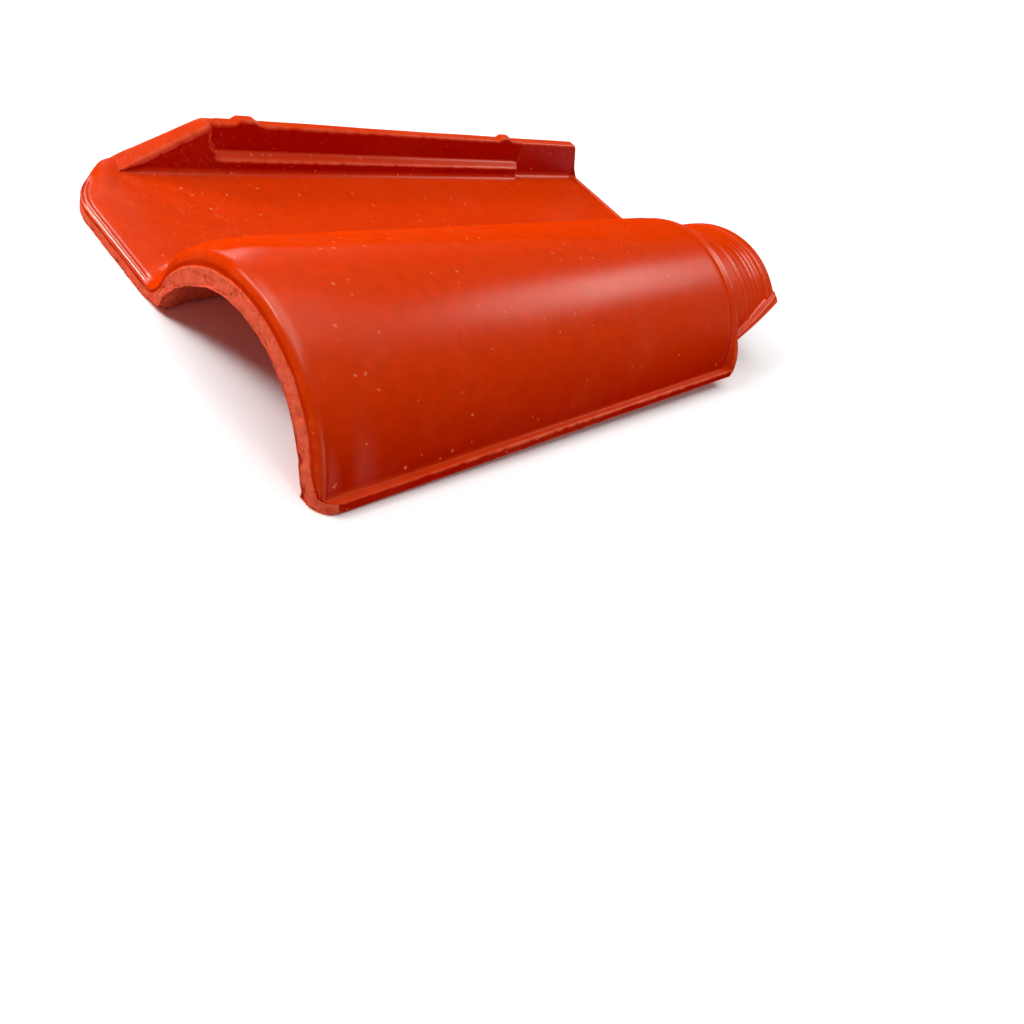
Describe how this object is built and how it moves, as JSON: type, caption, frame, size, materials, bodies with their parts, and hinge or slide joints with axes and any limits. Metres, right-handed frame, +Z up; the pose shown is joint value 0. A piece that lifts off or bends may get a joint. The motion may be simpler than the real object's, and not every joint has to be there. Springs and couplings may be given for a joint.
{
  "type": "clay roof tile",
  "caption": "Glazed red clay roof tile with a flat pan, a mitred side lip and a half-round roll that steps down to a neck at its head.",
  "frame": {"origin": "centre of the bounding box, on the floor that the foot and the nib rest on", "axes": "+X across the tile from the side lip to the roll's flange, +Y from the foot to the head, +Z up"},
  "size_m": [0.237, 0.4148, 0.0683],
  "materials": {
    "glazed_clay": "satin red glaze fired on pressed clay, with raw clay on the cut foot face"
  },
  "bodies": {
    "root": {"roof_tile": "glazed_clay"}
  },
  "joints": []
}
